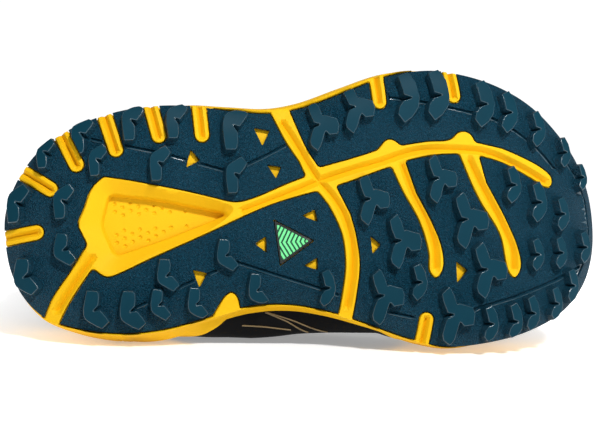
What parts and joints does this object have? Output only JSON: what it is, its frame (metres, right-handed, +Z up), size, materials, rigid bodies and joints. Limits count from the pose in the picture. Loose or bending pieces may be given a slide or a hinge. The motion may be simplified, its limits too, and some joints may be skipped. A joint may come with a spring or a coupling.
{
  "type": "trail running shoe",
  "caption": "Right trail running shoe lying on its medial side, with a lugged rubber outsole in three pads, a thick foam midsole and a hollow laced upper.",
  "frame": {"origin": "middle of the bounding box in plan, at the height of the ground that the shoe lies on", "axes": "+X from heel to toe along the sole, -Y the way the tread faces, +Z up, towards the lateral side of the shoe as it lies"},
  "size_m": [0.2844, 0.1088, 0.127],
  "materials": {
    "outsole_rubber": "fine leathery grain, matte, petrol blue",
    "inlay_film": "smooth printed mint green",
    "midsole_foam": "moulded foam, satin yellow",
    "insole_cloth": "brushed cloth over foam, dark grey",
    "upper_mesh": "engineered mesh with bonded films, black",
    "tongue_cloth": "padded knit, black",
    "lace_cord": "flat woven cord, black"
  },
  "bodies": {
    "root": {"outsole_heel": "outsole_rubber", "outsole_midfoot": "outsole_rubber", "outsole_forefoot": "outsole_rubber", "sole_inlay": "inlay_film", "midsole": "midsole_foam", "insole": "insole_cloth", "upper": "upper_mesh", "tongue": "tongue_cloth", "laces": "lace_cord"}
  },
  "joints": []
}
